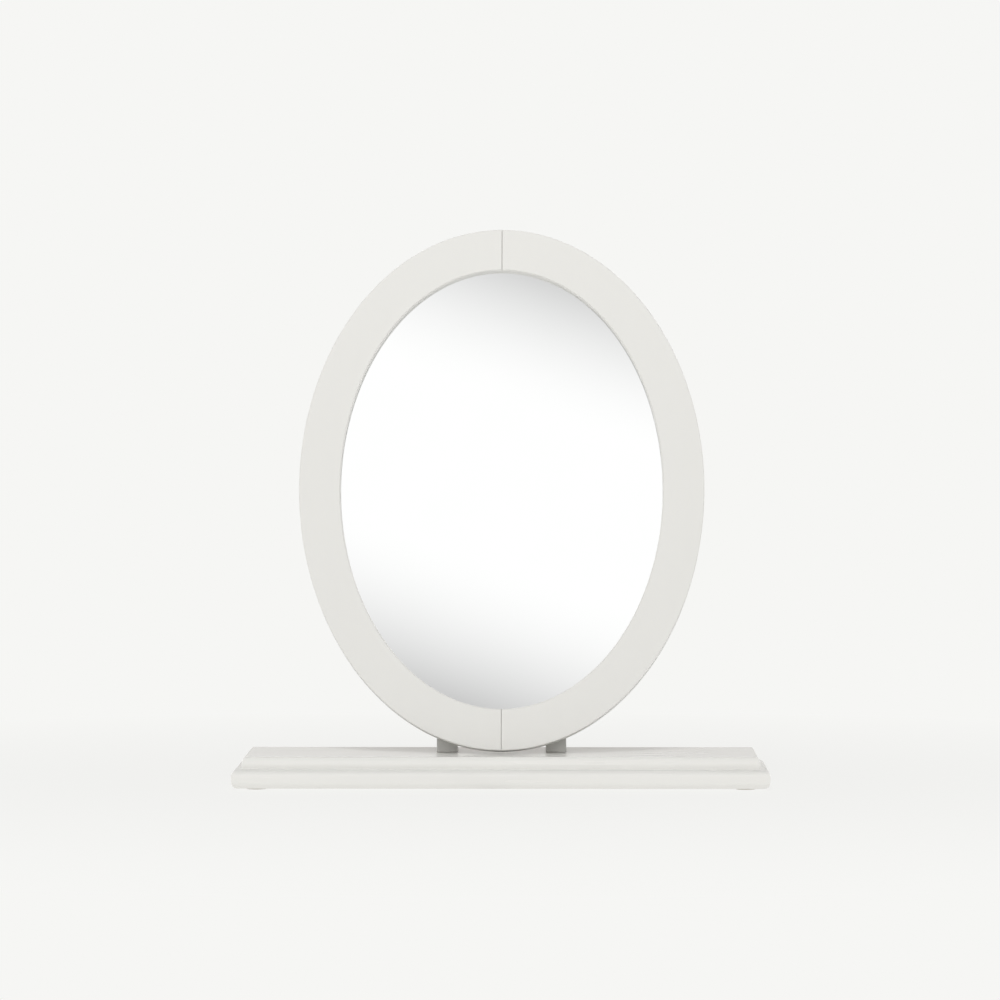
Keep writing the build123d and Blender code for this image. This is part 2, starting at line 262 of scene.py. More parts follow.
def sweep_tree():
    """A section with its corners at (outset, 0, depth), led round an oval, its ends drawn in at a seam."""
    tree = bpy.data.node_groups.new("section_sweep", "GeometryNodeTree")
    sizes = {"Corners": "Int", "Closed": "Int", "Steps": "Int"}
    sizes |= dict.fromkeys(("Half Width", "Half Height", "First", "Turn"), "Float")
    sizes |= dict.fromkeys(("Seam Across", "Seam Drop", "Front"), "Float")
    tree.interface.new_socket("Section", in_out="INPUT", socket_type="NodeSocketGeometry")
    for name, kind in sizes.items():
        tree.interface.new_socket(name, in_out="INPUT", socket_type="NodeSocket" + kind)
    tree.interface.new_socket("Finish", in_out="INPUT", socket_type="NodeSocketMaterial")
    tree.interface.new_socket("Shape", in_out="OUTPUT", socket_type="NodeSocketGeometry")
    start = Wire(tree)

    def given(name):
        return start.node("NodeGroupInput", out=name)

    corners, steps = given("Corners"), given("Steps")
    columns = corners + given("Closed")
    sheet = start.node(
        "GeometryNodeMeshGrid",
        sockets={
            "Size X": columns - 1,
            "Size Y": steps + 2,
            "Vertices X": columns,
            "Vertices Y": steps + 3,
        },
        out="Mesh",
    )
    place = start.node("GeometryNodeInputPosition")
    along = place.axis("Y")
    corner = start.math("MODULO", place.axis("X") + (columns - 1) / 2 + 0.5, corners)
    sampled = start.node(
        "GeometryNodeSampleIndex",
        {"data_type": "FLOAT_VECTOR", "domain": "POINT"},
        {"Geometry": given("Section"), "Value": place, "Index": corner},
        "Value",
    )
    outset, depth = sampled.axis("X"), sampled.axis("Z")
    share = start.node(
        "ShaderNodeMath", {"operation": "DIVIDE", "use_clamp": True}, {0: along + steps / 2, 1: steps}
    )
    angle = given("First") + share * given("Turn")
    from_middle = start.math("ABSOLUTE", along)
    seam = start.math("GREATER_THAN", from_middle, steps / 2 + 0.5)
    beside_seam = start.math("GREATER_THAN", from_middle, steps / 2 - 0.5) - seam
    proud = start.math("MAXIMUM", depth + given("Seam Drop") - given("Front"), 0.0)
    moved = start.node(
        "ShaderNodeCombineXYZ",
        sockets={
            "X": (given("Half Width") + outset) * start.math("COSINE", angle)
            + given("Seam Across") * beside_seam,
            "Y": (given("Half Height") + outset) * start.math("SINE", angle),
            "Z": depth - seam * proud,
        },
    )
    swept = start.node("GeometryNodeSetPosition", sockets={"Geometry": sheet, "Position": moved})
    joined = start.node("GeometryNodeMergeByDistance", sockets={"Geometry": swept, "Distance": same_point})
    whole = start.node("GeometryNodeRealizeInstances", sockets={"Geometry": joined})
    dressed = start.node("GeometryNodeSetMaterial", sockets={"Geometry": whole, "Material": given("Finish")})
    end = tree.nodes.new("NodeGroupOutput")
    start.feed(end.inputs["Shape"], dressed)
    return tree


def with_nodes(holder, tree, inputs):
    """The plain mesh that a node tree makes of an object."""
    modifier = holder.modifiers.new(tree.name, "NODES")
    modifier.node_group = tree
    names = {item.name: item.identifier for item in tree.interface.items_tree if item.in_out == "INPUT"}
    for name, value in inputs.items():
        modifier[names[name]] = value
    return plain(holder)


sweep = sweep_tree()


def swept(
    section, material, oval=(0.0, 0.0), steps=48, closed=False, arc=(0.0, 2 * math.pi), seam=(0.0, 0.0)
):
    """A section led round an oval, or turned about its axis where the oval has no size."""
    corners = bpy.data.meshes.new("section")
    corners.from_pydata([(outset, 0, depth) for outset, depth in section], [], [])
    inputs = {
        "Corners": len(section),
        "Closed": int(closed),
        "Steps": steps,
        "Half Width": oval[0],
        "Half Height": oval[1],
        "First": arc[0],
        "Turn": arc[1],
        "Seam Across": seam[0],
        "Seam Drop": seam[1],
        "Front": max(depth for outset, depth in section),
        "Finish": material,
    }
    shape = with_nodes(placed("section", corners), sweep, inputs)
    mesh = bmesh.new()
    mesh.from_mesh(shape)
    bmesh.ops.remove_doubles(mesh, verts=mesh.verts, dist=same_point)
    bmesh.ops.holes_fill(mesh, edges=[edge for edge in mesh.edges if edge.is_boundary])
    bmesh.ops.recalc_face_normals(mesh, faces=mesh.faces)
    mesh.to_mesh(shape)
    mesh.free()
    return shape


def gathered(shape, places):
    """One mesh of the same shape at several places."""
    mesh = bmesh.new()
    for place in places:
        copy = shape.copy()
        copy.transform(place)
        mesh.from_mesh(copy)
        bpy.data.meshes.remove(copy)
    together = bpy.data.meshes.new(shape.name)
    mesh.to_mesh(together)
    mesh.free()
    return together


def cut(shape, tools):
    """A shape with others taken out of it."""
    block = placed("block", shape)
    cutters = [placed("cutter", tool) for tool in tools]
    for cutter in cutters:
        modifier = block.modifiers.new("cut", "BOOLEAN")
        modifier.operation, modifier.solver, modifier.object = "DIFFERENCE", "EXACT", cutter
    result = plain(block)
    for cutter in cutters:
        bpy.data.objects.remove(cutter)
    return result


gloss_lacquer = lacquer("gloss_lacquer", grain=(5, 170, 170), gloss=0.205, white=240, flow=1.0)
pads_low, pads_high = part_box("base_pads")
pad_radius = 0.010
pad_places = [
    Matrix.Translation((x, y, pads_low.z))
    for x in (pads_low.x + pad_radius, pads_high.x - pad_radius)
    for y in (pads_low.y + pad_radius, pads_high.y - pad_radius)
]
snug = 0.00005
deep = 0.004
pocket = swept(
    [(0, -deep), (pad_radius + snug, -deep), (pad_radius + snug, pads_high.z), (0, pads_high.z)],
    gloss_lacquer,
)
screws_low, screws_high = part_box("post_screws")
post_screw_head = 0.0046
post_screw_shank = 0.00225
post_screw_places = [
    Vector((x, (screws_low.y + screws_high.y) / 2, screws_low.z))
    for x in (screws_low.x + post_screw_head, screws_high.x - post_screw_head)
]
screw_hole = swept(
    [
        (0, -deep),
        (post_screw_head + snug, -deep),
        (post_screw_head + snug, 0),
        (post_screw_shank + snug, post_screw_head - post_screw_shank),
        (post_screw_shank + snug, board_thickness),
        (0, board_thickness),
    ],
    gloss_lacquer,
)
pockets = gathered(pocket, pad_places)
screw_holes = gathered(screw_hole, [Matrix.Translation(place) for place in post_screw_places])
base = shaded("moulded_board", cut(board_shape(), [pockets, screw_holes]), gloss_lacquer)
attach(base, "base")
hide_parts("base_board")

# Felt pads
# Four discs cut from thick wool felt and glued into shallow pockets under the board.
# Their cut edges are soft and their faces uneven, and the board's weight has pressed them a little.
pad_thickness = pads_high.z - pads_low.z
pad_round = 0.0006
pad_middle_gap, pad_half_gap, pad_edge_gap = pad_round / 4, pad_round / 5, pad_round / 6


def felt(name, pale, dark):
    """Pressed wool: tangled fibres with a soft nap."""
    material, shader, here = finish(name)
    fibres = here.noise(scale=2600, detail=6, rough=0.7)
    clumps = here.noise(scale=380, detail=3)
    here.feed(shader.inputs["Base Color"], (fibres * 0.6 + clumps * 0.4).between(dark, pale))
    here.feed(shader.inputs["Roughness"], 0.88 + fibres * 0.1)
    here.feed(shader.inputs["Normal"], (fibres + clumps * 0.6).bump(distance=0.0002, strength=0.6))
    shader.inputs["Sheen Weight"].default_value = 0.3
    shader.inputs["Specular IOR Level"].default_value = 0.2
    return material


def ruffled(shape, height, grain):
    """The same shape with its points moved a little, as in pressed fibre."""
    for vertex in shape.vertices:
        vertex.co += noise.noise_vector(vertex.co * grain) * height
    return shape


pad_section = [
    (0, pad_middle_gap),
    (pad_radius / 2, pad_half_gap),
    (pad_radius - 2 * pad_round, pad_edge_gap),
    *quarter((pad_radius - pad_round, pad_edge_gap), (pad_radius, pad_round), 4),
    (pad_radius, pad_thickness - pad_round),
    *quarter((pad_radius, pad_thickness - pad_round), (pad_radius - pad_round, pad_thickness), 3)[1:],
    (0, pad_thickness),
]
pad_felt = felt("pad_felt", tint(222, 218, 210), tint(190, 185, 176))
pads = gathered(swept(pad_section, pad_felt, steps=40), pad_places)
pads = shaded("felt_pads", ruffled(pads, height=0.00004, grain=900), pad_felt, crease=70)
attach(pads, "base")
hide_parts("base_pads")

# Posts
# Two short upright brackets, sawn from board with a hollow back that runs out to a low toe.
# Their edges are eased by sanding, and they have the frame's satin lacquer.
post_toe_height = 0.013
post_top_depth = 0.020
post_hollow = 0.005
post_eased = 0.001
post_corner = math.radians(32)
satin_lacquer = lacquer("satin_lacquer", grain=(40, 40, 5), gloss=0.3, white=235, flow=0.2)

for side in ("left", "right"):
    low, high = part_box(side + "_post")
    top_back, toe = (low.y + post_top_depth, high.z), (high.y, low.z + post_toe_height)
    outline = [(low.y, low.z), (low.y, high.z), *bow(top_back, toe, -post_hollow, 16), (high.y, low.z)]
    mesh = bmesh.new()
    cheek = mesh.faces.new([mesh.verts.new((low.x, y, z)) for y, z in outline])
    pulled = bmesh.ops.extrude_face_region(mesh, geom=[cheek])["geom"]
    far_cheek = [item for item in pulled if isinstance(item, bmesh.types.BMVert)]
    bmesh.ops.translate(mesh, vec=(high.x - low.x, 0, 0), verts=far_cheek)
    bmesh.ops.recalc_face_normals(mesh, faces=mesh.faces)
    shape = bpy.data.meshes.new(side + "_bracket")
    mesh.to_mesh(shape)
    mesh.free()
    post = shaded(side + "_bracket_post", shape, satin_lacquer)
    eased = post.modifiers.new("eased", "BEVEL")
    eased.width, eased.segments, eased.limit_method = post_eased, 3, "ANGLE"
    eased.angle_limit, eased.harden_normals = post_corner, True
    post.modifiers.move(post.modifiers.find("eased"), 0)
    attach(post, "base")
    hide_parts(side + "_post")


# Dowels of the posts
# Fluted beech pegs, glued into the board and into the foot of each post and hidden once it stands.
def beech(name):
    """Pale beech, its grain along the peg, with short darker flecks."""
    material, shader, here = finish(name)
    grain = here.stretched(900, 900, 60).noise(scale=1, detail=4, rough=0.6)
    flecks = here.stretched(2600, 2600, 500).noise(scale=1)
    here.feed(shader.inputs["Base Color"], grain.between(tint(206, 170, 128), tint(226, 196, 156)))
    here.feed(shader.inputs["Roughness"], 0.6 + flecks * 0.2)
    here.feed(shader.inputs["Normal"], (grain + flecks * 0.5).bump(distance=0.0001, strength=0.4))
    return material


peg_beech = beech("peg_beech")
frame["nodes"]["post_dowels"].data.materials[0] = peg_beech


# Screws of the posts
# Two long countersunk steel screws from under the board, one up into each post, zinc plated,
# with a cross recess for the driver.
def metal(name, dark, pale, rough, brushed):
    """Plated steel: drawn or brushed lines, and a plating that is a little cloudy."""
    material, shader, here = finish(name)
    lines = here.stretched(*brushed).noise(scale=1, detail=3, rough=0.6)
    cloud = here.noise(scale=260, detail=3)
    here.feed(shader.inputs["Base Color"], (lines * 0.5 + cloud * 0.5).between(dark, pale))
    here.feed(shader.inputs["Roughness"], rough + lines * 0.12 + cloud * 0.08)
    here.feed(shader.inputs["Normal"], lines.bump(distance=0.00002, strength=0.3))
    shader.inputs["Metallic"].default_value = 1.0
    return material


screw_rim_share = 0.06
screw_tip = 0.003
screw_point_share = 0.2
screw_point_place = 0.995
recess_depth_share = 0.5
recess_reach_share = 0.62
recess_width_share = 0.14
recess_foot_reach = 0.45
recess_foot_width = 0.78


def screw_shape(head, shank, length, material):
    """A countersunk wood screw with its head in the plane and its point below, cut for a driver."""
    rim = head * screw_rim_share
    body = swept(
        [
            (0, 0),
            (head - rim, 0),
            (head, -rim),
            (shank, shank - head),
            (shank, screw_tip - length),
            (shank * screw_point_share, -length * screw_point_place),
            (0, -length),
        ],
        material,
        steps=24,
    )
    depth, reach, width = (
        head * share for share in (recess_depth_share, recess_reach_share, recess_width_share)
    )
    slots = []
    for turn in (0, math.pi / 2):
        mesh = bmesh.new()
        bmesh.ops.create_cube(mesh, size=1)
        for vertex in mesh.verts:
            upper = vertex.co.z > 0
            long, wide = (1, 1) if upper else (recess_foot_reach, recess_foot_width)
            vertex.co.x *= 2 * reach * long
            vertex.co.y *= 2 * width * wide
            vertex.co.z = rim if upper else -depth
        mesh.transform(Matrix.Rotation(turn, 4, "Z"))
        slot = bpy.data.meshes.new("slot")
        mesh.to_mesh(slot)
        mesh.free()
        slots.append(slot)
    return cut(body, slots)


def set_out_tree():
    """Pieces stood on points, each turned by chance about the direction that it faces."""
    tree = bpy.data.node_groups.new("set_out", "GeometryNodeTree")
    for name, kind in {"Places": "Geometry", "Piece": "Object", "Most Turn": "Float", "Seed": "Int"}.items():
        tree.interface.new_socket(name, in_out="INPUT", socket_type="NodeSocket" + kind)
    tree.interface.new_socket("Finish", in_out="INPUT", socket_type="NodeSocketMaterial")
    tree.interface.new_socket("Shape", in_out="OUTPUT", socket_type="NodeSocketGeometry")
    start = Wire(tree)

    def given(name):
        return start.node("NodeGroupInput", out=name)

    facing = start.node(
        "GeometryNodeInputNamedAttribute", {"data_type": "FLOAT_VECTOR"}, {"Name": "outward"}, "Attribute"
    )
    upright = start.node("FunctionNodeAlignRotationToVector", {"axis": "Z"}, {"Vector": facing})
    chance = start.node(
        "FunctionNodeRandomValue",
        {"data_type": "FLOAT"},
        {"Min": 0.0, "Max": given("Most Turn"), "Seed": given("Seed")},
        "Value",
    )
    spin = start.node("FunctionNodeAxisAngleToRotation", sockets={"Axis": (0, 0, 1), "Angle": chance})
    turned = start.node(
        "FunctionNodeRotateRotation",
        {"rotation_space": "LOCAL"},
        {"Rotation": upright, "Rotate By": spin},
    )
    piece = start.node("GeometryNodeObjectInfo", sockets={"Object": given("Piece")}, out="Geometry")
    stood = start.node(
        "GeometryNodeInstanceOnPoints",
        sockets={"Points": given("Places"), "Instance": piece, "Rotation": turned},
    )
    whole = start.node("GeometryNodeRealizeInstances", sockets={"Geometry": stood})
    dressed = start.node("GeometryNodeSetMaterial", sockets={"Geometry": whole, "Material": given("Finish")})
    end = tree.nodes.new("NodeGroupOutput")
    start.feed(end.inputs["Shape"], dressed)
    return tree


set_out = set_out_tree()


def screws(name, places, outward, sizes, material, seed):
    """A set of like screws at their places, all facing one way."""
    points = bpy.data.meshes.new("places")
    points.from_pydata(places, [], [])
    facing = points.attributes.new("outward", "FLOAT_VECTOR", "POINT")
    facing.data.foreach_set("vector", [*outward] * len(places))
    one = placed("one_screw", screw_shape(*sizes, material))
    inputs = {"Piece": one, "Most Turn": math.pi / 2, "Seed": seed, "Finish": material}
    shape = with_nodes(placed("places", points), set_out, inputs)
    bpy.data.objects.remove(one)
    return shaded(name, shape, material)


post_screw_length = 0.050
zinc = metal("zinc_plate", tint(168, 170, 172), tint(206, 208, 210), rough=0.22, brushed=(700, 700, 120))
down = Vector((0, 0, -1))
sizes = (post_screw_head, post_screw_shank, post_screw_length)
post_screws = screws("long_screws", post_screw_places, down, sizes, zinc, seed=3)
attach(post_screws, "base")
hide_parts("post_screws")


# Post leaves of the hinges
# Stamped steel leaves, one on the front of each post, with one wide knuckle rolled at the top.
# They are tumbled to break their edges and plated with satin nickel.
flat_turn = math.radians(1)
broken_turn = math.radians(40)


def softened(name, node, material, edge):
    """A copy of a made part with its flat faces joined up and its edges broken."""
    made = frame["nodes"][node].data
    mesh = bmesh.new()
    points = [mesh.verts.new(vertex.co) for vertex in made.vertices]
    for face in made.polygons:
        mesh.faces.new([points[index] for index in face.vertices])
    bmesh.ops.remove_doubles(mesh, verts=mesh.verts, dist=same_point)
    bmesh.ops.dissolve_limit(mesh, angle_limit=flat_turn, verts=mesh.verts, edges=mesh.edges)
    shape = bpy.data.meshes.new(name)
    mesh.to_mesh(shape)
    mesh.free()
    piece = shaded(name, shape, material)
    broken = piece.modifiers.new("broken_edges", "BEVEL")
    broken.width, broken.segments, broken.limit_method = edge, 2, "ANGLE"
    broken.angle_limit, broken.harden_normals = broken_turn, True
    piece.modifiers.move(piece.modifiers.find("broken_edges"), 0)
    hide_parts(node)
    return piece


broken_edge = 0.0002
nickel = metal("satin_nickel", tint(176, 172, 164), tint(204, 200, 192), rough=0.26, brushed=(60, 1400, 1400))
for side in ("left", "right"):
    leaf = softened(side + "_post_leaf", side + "_hinge_post_leaf", nickel, broken_edge)
    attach(leaf, "base")

# Screws of the post leaves
# Small countersunk zinc-plated screws, two through each leaf into the front of its post.
lean = math.radians(9)
to_front = Vector((0, -math.cos(lean), math.sin(lean)))
to_top = Vector((0, math.sin(lean), math.cos(lean)))
hinge = Vector(frame["joints"][0]["pos_m"])
post_spacing = 0.109
axis_offset = 0.0044
leaf_thickness = 0.002
leaf_screw_sizes = (0.0029, 0.0015, 0.014)
leaf_screw_out = 0.0056
leaf_screw_drop = 0.0102


def leaf_screw_places(up, outward):
    """Where the leaf screws sit, on the faces of the leaves that look towards the other leaf."""
    face = hinge - outward * (axis_offset - leaf_thickness) - up * leaf_screw_drop
    return [
        face + Vector((side * post_spacing / 2 + way * leaf_screw_out, 0, 0))
        for side in (-1, 1)
        for way in (-1, 1)
    ]


forward = Vector((0, -1, 0))
places = leaf_screw_places(Vector((0, 0, 1)), forward)
post_leaf_screws = screws("post_leaf_small_screws", places, forward, leaf_screw_sizes, zinc, seed=5)
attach(post_leaf_screws, "base")
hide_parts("post_leaf_screws")


# Stop buttons
# Moulded rubber buttons pressed onto the post leaves; the frame's leaves meet them when the mirror
# stands at its steepest.
def rubber(name):
    """Moulded black rubber with a dull, dusty skin."""
    material, shader, here = finish(name)
    dust = here.noise(scale=900, detail=4, rough=0.7)
    here.feed(shader.inputs["Base Color"], dust.between(tint(38, 38, 38), tint(62, 61, 59)))
    here.feed(shader.inputs["Roughness"], 0.55 + dust * 0.2)
    here.feed(shader.inputs["Normal"], dust.bump(distance=0.00005, strength=0.4))
    return material


stop_low, stop_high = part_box("stop_buttons")
stop_radius = 0.0022
stop_length = stop_high.y - stop_low.y
stop_round = 0.0006
stop_rubber = rubber("stop_rubber")
stop_section = [
    (0, 0),
    (stop_radius, 0),
    *quarter((stop_radius, stop_length - stop_round), (stop_radius - stop_round, stop_length), 5),
    (0, stop_length),
]
stop_face = Matrix.Rotation(math.pi / 2, 4, "X")
stop_places = [
    Matrix.Translation((x, stop_high.y, (stop_low.z + stop_high.z) / 2)) @ stop_face
    for x in (stop_low.x + stop_radius, stop_high.x - stop_radius)
]
stop = swept(stop_section, stop_rubber, steps=32)
stops = shaded("rubber_buttons", gathered(stop, stop_places), stop_rubber)
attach(stops, "base")
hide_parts("stop_buttons")

# Frame halves
# The oval frame is two half rings sawn from board, rebated behind for the glass and the panel, and
# glued end to end with dowels. A fine groove is left at each seam, and both have satin lacquer.
glass_low, glass_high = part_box("mirror_glass")
oval_half_width = 0.203
oval_half_height = 0.263
rail_width = 0.0415
rail_thickness = 0.018
front_round = 0.0006
opening_round = 0.001
back_round = 0.0012
seam_half_width = 0.00026
seam_depth = 0.0025
glass_thickness = 0.004
felt_thickness = 0.001
panel_thickness = 0.004
glass_lip = 0.009
panel_step = 0.006
opening = (oval_half_width - rail_width, oval_half_height - rail_width)
pocket_depth = glass_thickness + felt_thickness + panel_thickness
glass_middle = panel_thickness + felt_thickness + glass_thickness / 2
oval_centre = (glass_low + glass_high) / 2 - to_front * glass_middle
mirror_turn = Matrix((Vector((1, 0, 0)), to_top, to_front)).transposed().to_4x4()
mirror_stand = Matrix.Translation(oval_centre) @ mirror_turn
rail_section = [
    (glass_lip + panel_step, 0),
    *quarter((rail_width - back_round, 0), (rail_width, back_round)),
    *quarter((rail_width, rail_thickness - front_round), (rail_width - front_round, rail_thickness)),
    *quarter((opening_round, rail_thickness), (0, rail_thickness - opening_round)),
    (0, pocket_depth),
    (glass_lip, pocket_depth),
    (glass_lip, panel_thickness),
    (glass_lip + panel_step, panel_thickness),
]
for side, first, way in (("left", math.pi / 2, -1), ("right", -math.pi / 2, 1)):
    shape = swept(
        rail_section,
        satin_lacquer,
        oval=opening,
        steps=180,
        closed=True,
        arc=(first, math.pi),
        seam=(way * seam_half_width, seam_depth),
    )
    shape.transform(mirror_stand)
    rail = shaded(side + "_half_ring", shape, satin_lacquer)
    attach(rail, "mirror")
    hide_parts("frame_" + side)

# Dowels of the seams
# Beech pegs across the two joints of the frame, glued and hidden.
frame["nodes"]["seam_dowels"].data.materials[0] = peg_beech


# Mirror glass
# Float glass cut to an oval with a ground arris, silvered and painted grey on its back.
# It lies in the rebate behind the frame's lip.
def silvered(name):
    """Silvered glass: a clean reflection, a trace of haze, and the green of the glass in its colour."""
    material, shader, here = finish(name)
    haze = here.noise(scale=14, detail=4, rough=0.6)
    here.feed(shader.inputs["Base Color"], haze.between(tint(249, 250, 249), tint(251, 251, 251)))
    here.feed(shader.inputs["Roughness"], haze * 0.012)
    shader.inputs["Metallic"].default_value = 1.0
    return material


glass_play = 0.001
glass_arris = 0.0006
glass_reach = glass_lip - glass_play
glass_back = panel_thickness + felt_thickness
glass_front = glass_back + glass_thickness
glass_section = [
    (glass_reach - glass_arris, glass_back),
    (glass_reach, glass_back + glass_arris),
    (glass_reach, glass_front - glass_arris),
    (glass_reach - glass_arris, glass_front),
]
silver = silvered("silvered_glass")
shape = swept(glass_section, silver, oval=opening, steps=256)
shape.transform(mirror_stand)
glass = shaded("oval_glass", shape, silver)
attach(glass, "mirror")
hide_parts("mirror_glass")

# Felt behind the glass
# A thin sheet of grey wool felt laid between the glass and the panel so that neither rattles.
felt_inset = 0.003
felt_reach = glass_lip - felt_inset
felt_round = 0.00025
felt_margin = 0.02
felt_section = [
    (felt_reach - felt_margin, panel_thickness),
    *quarter((felt_reach - felt_round, panel_thickness), (felt_reach, panel_thickness + felt_round), 2),
    *quarter((felt_reach, glass_back - felt_round), (felt_reach - felt_round, glass_back), 2),
    (felt_reach - felt_margin, glass_back),
]
sheet_felt = felt("sheet_felt", tint(150, 150, 152), tint(112, 112, 115))
shape = ruffled(swept(felt_section, sheet_felt, oval=opening, steps=200), height=0.00003, grain=700)
shape.transform(mirror_stand)
backing = shaded("felt_sheet", shape, sheet_felt, crease=70)
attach(backing, "mirror")
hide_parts("glass_felt")


# Back panel
# An oval of tempered hardboard, let in flush with the back of the frame and drilled and countersunk
# for its screws. It presses the felt and the glass against the lip.
def hardboard(name):
    """Brown hardboard: a smooth pressed face of fine fibres with darker flecks."""
    material, shader, here = finish(name)
    fibres = here.noise(scale=900, detail=6, rough=0.7)
    flecks = here.node("ShaderNodeTexVoronoi", sockets={"Vector": here, "Scale": 420}, out="Distance")
    cloud = here.noise(scale=22, detail=4)
    pale = (fibres * 0.55 + cloud * 0.45).between(tint(112, 78, 50), tint(150, 110, 76))
    dark = here.math("LESS_THAN", flecks, 0.22) * 0.35
    here.feed(shader.inputs["Base Color"], dark.between(pale, tint(78, 52, 33)))
    here.feed(shader.inputs["Roughness"], 0.5 + fibres * 0.18)
    here.feed(shader.inputs["Normal"], (fibres - dark * 0.4).bump(distance=0.00012, strength=0.5))
    return material


panel_play = 0.0005
panel_arris = 0.0005
panel_reach = glass_lip + panel_step - panel_play
panel_screw_count = 10
panel_screw_sizes = (0.0028, 0.0015, 0.012)
panel_screw_ring = glass_lip + panel_step / 2
panel_section = [
    (panel_reach - panel_arris, 0),
    (panel_reach, panel_arris),
    (panel_reach, panel_thickness),
    (panel_reach - panel_arris, panel_thickness),
]
panel_screw_places = []
for step in range(panel_screw_count):
    angle = 2 * math.pi * step / panel_screw_count
    wide, high = opening[0] + panel_screw_ring, opening[1] + panel_screw_ring
    panel_screw_places.append(Vector((wide * math.cos(angle), high * math.sin(angle), 0)))
brown_board = hardboard("brown_hardboard")
head, shank, _ = panel_screw_sizes
sink = swept(
    [
        (0, -deep),
        (head + snug, -deep),
        (head + snug, 0),
        (shank + snug, head - shank),
        (shank + snug, 2 * panel_thickness),
        (0, 2 * panel_thickness),
    ],
    brown_board,
    steps=24,
)
sinks = gathered(sink, [Matrix.Translation(place) for place in panel_screw_places])
shape = cut(swept(panel_section, brown_board, oval=opening, steps=256), [sinks])
shape.transform(mirror_stand)
panel = shaded("hardboard_back", shape, brown_board)
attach(panel, "mirror")
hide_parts("back_panel")

# Screws of the back panel
# Ten short countersunk zinc-plated screws round the panel into the step of the frame.
places = [mirror_stand @ place for place in panel_screw_places]
panel_screws = screws("panel_small_screws", places, -to_front, panel_screw_sizes, zinc, seed=11)
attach(panel_screws, "mirror")
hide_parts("panel_screws")

# Frame leaves of the hinges
# Wider stamped leaves on the back of the frame, with a knuckle at each side of the post leaf's one.
for side in ("left", "right"):
    leaf = softened(side + "_frame_leaf", side + "_hinge_frame_leaf", nickel, broken_edge)
    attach(leaf, "mirror")

# Screws of the frame leaves
# Two small countersunk screws through each leaf into the frame.
places = leaf_screw_places(to_top, -to_front)
frame_leaf_screws = screws("frame_leaf_small_screws", places, -to_front, leaf_screw_sizes, zinc, seed=8)
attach(frame_leaf_screws, "mirror")
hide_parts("frame_leaf_screws")


# Pins, friction washers, disc springs and nuts
# A steel pin with a head runs through both knuckles; thin acetal washers rub between them, and two
# dished spring discs under a nut press the stack together so that the mirror stays where it is put.
def acetal(name):
    """Black acetal, punched from sheet, a little waxy."""
    material, shader, here = finish(name)
    wax = here.noise(scale=700, detail=3)
    here.feed(shader.inputs["Base Color"], wax.between(tint(40, 40, 42), tint(58, 58, 60)))
    here.feed(shader.inputs["Roughness"], 0.32 + wax * 0.12)
    here.feed(shader.inputs["Normal"], wax.bump(distance=0.00003, strength=0.3))
    return material


spring = metal("spring_steel", tint(96, 98, 104), tint(132, 134, 140), rough=0.3, brushed=(900, 900, 900))
black_acetal = acetal("black_acetal")
stack = {
    "hinge_pin": ("pin", zinc, 0.0004, "zinc_steel"),
    "friction_washers": ("washers", black_acetal, 0.0001, "acetal"),
    "disc_springs": ("springs", spring, 0.00008, "spring_steel"),
    "hinge_nut": ("nut", zinc, 0.0003, "zinc_steel"),
}
for side in ("left", "right"):
    for node, (name, material, edge, slot) in stack.items():
        part = softened(side + "_" + name, side + "_" + node, material, edge)
        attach(part, "mirror")

# Floor and background
# A pale studio floor that keeps the soft shadow near the object and runs out to the same white as the
# background. Matt surfaces get an even light from it, straight or by way of the mirror.
background = tint(246, 246, 244)
floor_radius = 14
floor_sides = 64
floor_rough = 0.9
floor_drop = 0.0002
shadow_share = 0.17
shadow_reach = 1.2
bounce_strength = 1.0

mesh = bmesh.new()
bmesh.ops.create_circle(mesh, cap_ends=True, radius=floor_radius, segments=floor_sides)
bmesh.ops.translate(mesh, vec=(0, 0, -floor_drop), verts=mesh.verts)
shape = bpy.data.meshes.new("studio_floor")
mesh.to_mesh(shape)
mesh.free()
floor_paint = bpy.data.materials.new("floor_paint")
floor_paint.use_nodes = True
tree = floor_paint.node_tree
shader = tree.nodes["Principled BSDF"]
shader.inputs["Base Color"].default_value = background
shader.inputs["Roughness"].default_value = floor_rough
shader.inputs["Specular IOR Level"].default_value = 0.0


def seen_ray(wire):
    """1 for rays that show the background: from the camera or in a reflection, before any matt surface."""

    def path(out):
        return wire.node("ShaderNodeLightPath", out=out)

    direct = path("Is Camera Ray") + path("Is Glossy Ray") + path("Is Transmission Ray")
    return wire.math("MAXIMUM", wire.math("MINIMUM", direct, 1.0) - path("Diffuse Depth"), 0.0)


here = Wire(tree).node("ShaderNodeTexCoord", out="Object")
far = here.node("ShaderNodeVectorMath", {"operation": "LENGTH"}, {0: here}, "Value") / shadow_reach
white = here.math("MINIMUM", 1 - shadow_share + far * shadow_share, 1.0) * seen_ray(here)
glow = here.node("ShaderNodeEmission", sockets={"Color": background, "Strength": 1.0})
table_light = here.node("ShaderNodeEmission", sockets={"Color": background, "Strength": bounce_strength})
from_matt = here.math("MINIMUM", here.node("ShaderNodeLightPath", out="Diffuse Depth"), 1.0)
lit = Wire(tree, shader.outputs["BSDF"])
ground = here.node("ShaderNodeMixShader", sockets={0: from_matt, 1: lit, 2: table_light})
mixed = here.node("ShaderNodeMixShader", sockets={0: white, 1: ground, 2: glow})
here.feed(tree.nodes["Material Output"].inputs["Surface"], mixed)
shape.materials.append(floor_paint)
floor = placed("studio_floor", shape)

